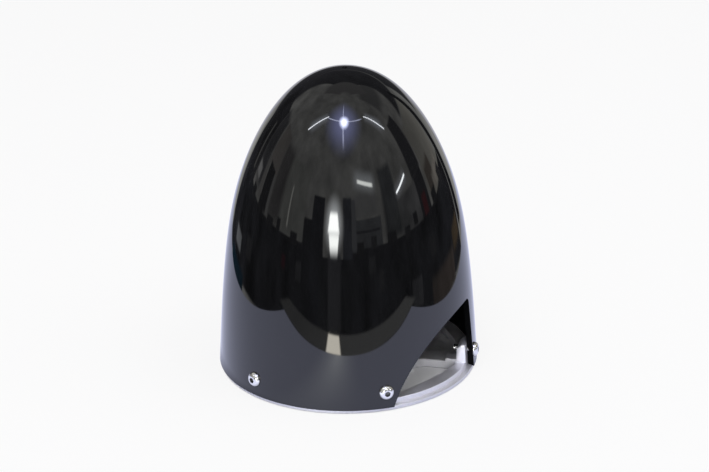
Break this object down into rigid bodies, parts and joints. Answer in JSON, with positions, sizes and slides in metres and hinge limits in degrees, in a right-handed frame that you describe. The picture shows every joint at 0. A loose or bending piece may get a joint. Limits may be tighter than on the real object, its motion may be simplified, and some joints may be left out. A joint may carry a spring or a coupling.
{
  "type": "propeller spinner",
  "caption": "Pointed spinner for a two-blade model aircraft propeller: a glossy cone with blade openings, screwed to a spoked aluminium backplate.",
  "frame": {"origin": "centre of the backplate's rear face, on the shaft axis", "axes": "+Z along the shaft axis towards the nose; the two blade openings are centred on +X and -X"},
  "size_m": [0.1, 0.1038, 0.1176],
  "materials": {
    "cone_plastic": "high gloss black moulding",
    "plate_aluminium": "fine turned and milled",
    "screw_steel": "bright plated"
  },
  "bodies": {
    "root": {"spinner_cone": "cone_plastic", "backplate": "plate_aluminium", "side_screw_1": "screw_steel", "side_screw_2": "screw_steel", "side_screw_3": "screw_steel", "side_screw_4": "screw_steel", "side_screw_5": "screw_steel", "side_screw_6": "screw_steel"}
  },
  "joints": []
}
